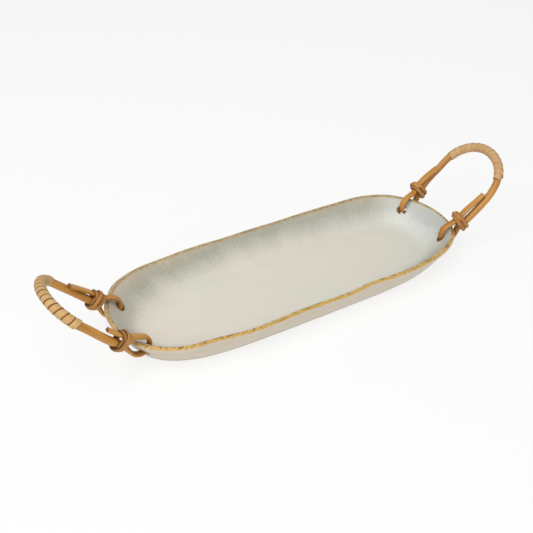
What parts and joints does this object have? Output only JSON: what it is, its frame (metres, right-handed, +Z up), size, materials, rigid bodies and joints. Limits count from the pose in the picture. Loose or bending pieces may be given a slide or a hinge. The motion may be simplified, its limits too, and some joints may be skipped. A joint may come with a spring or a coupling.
{
  "type": "oval serving platter",
  "caption": "Long oval stoneware serving platter with flared walls and bent cane handles, looped through holes in the wall, tied with split cane and wrapped at the grip.",
  "frame": {"origin": "centre of the flat foot, on the surface the platter stands on", "axes": "+X along the long side towards the right handle, +Y towards the back, +Z up"},
  "size_m": [0.4976, 0.147, 0.0905],
  "materials": {
    "glaze": "satin speckled glaze",
    "cane": "satin",
    "peel": "satin",
    "split_cane": "satin"
  },
  "bodies": {
    "platter": {"platter": "glaze"},
    "left_handle": {"left_handle_cane": "cane", "left_grip_wrap": "peel", "left_front_knot": "split_cane", "left_back_knot": "split_cane"},
    "right_handle": {"right_handle_cane": "cane", "right_grip_wrap": "peel", "right_front_knot": "split_cane", "right_back_knot": "split_cane"}
  },
  "joints": [
    {"name": "right_handle_swing", "type": "hinge", "parent": "platter", "child": "right_handle", "pos_m": [0.17339, 0, 0.02403], "axis": [0, -1, 0], "range_deg": [-40, 48]},
    {"name": "left_handle_swing", "type": "hinge", "parent": "platter", "child": "left_handle", "pos_m": [-0.17339, 0, 0.02403], "axis": [0, 1, 0], "range_deg": [-44, 44]}
  ]
}
